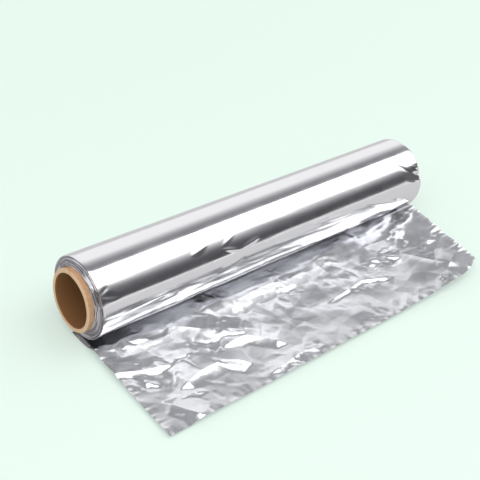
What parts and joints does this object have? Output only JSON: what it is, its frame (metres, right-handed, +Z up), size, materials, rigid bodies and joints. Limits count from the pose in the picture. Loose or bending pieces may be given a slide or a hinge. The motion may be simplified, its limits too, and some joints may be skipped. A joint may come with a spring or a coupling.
{
  "type": "aluminium foil roll",
  "caption": "Household roll of aluminium foil wound on a cardboard tube, lying on a table with a crumpled sheet paid out in front.",
  "frame": {"origin": "middle of the core's bore, on its axis", "axes": "+X along the roll, -Y towards the cut edge of the paid-out sheet, +Z up from the table"},
  "size_m": [0.312, 0.131, 0.0559],
  "materials": {
    "core_cardboard": "matte",
    "foil_aluminium": "bright rolled"
  },
  "bodies": {
    "root": {"core_tube": "core_cardboard", "foil": "foil_aluminium"}
  },
  "joints": []
}
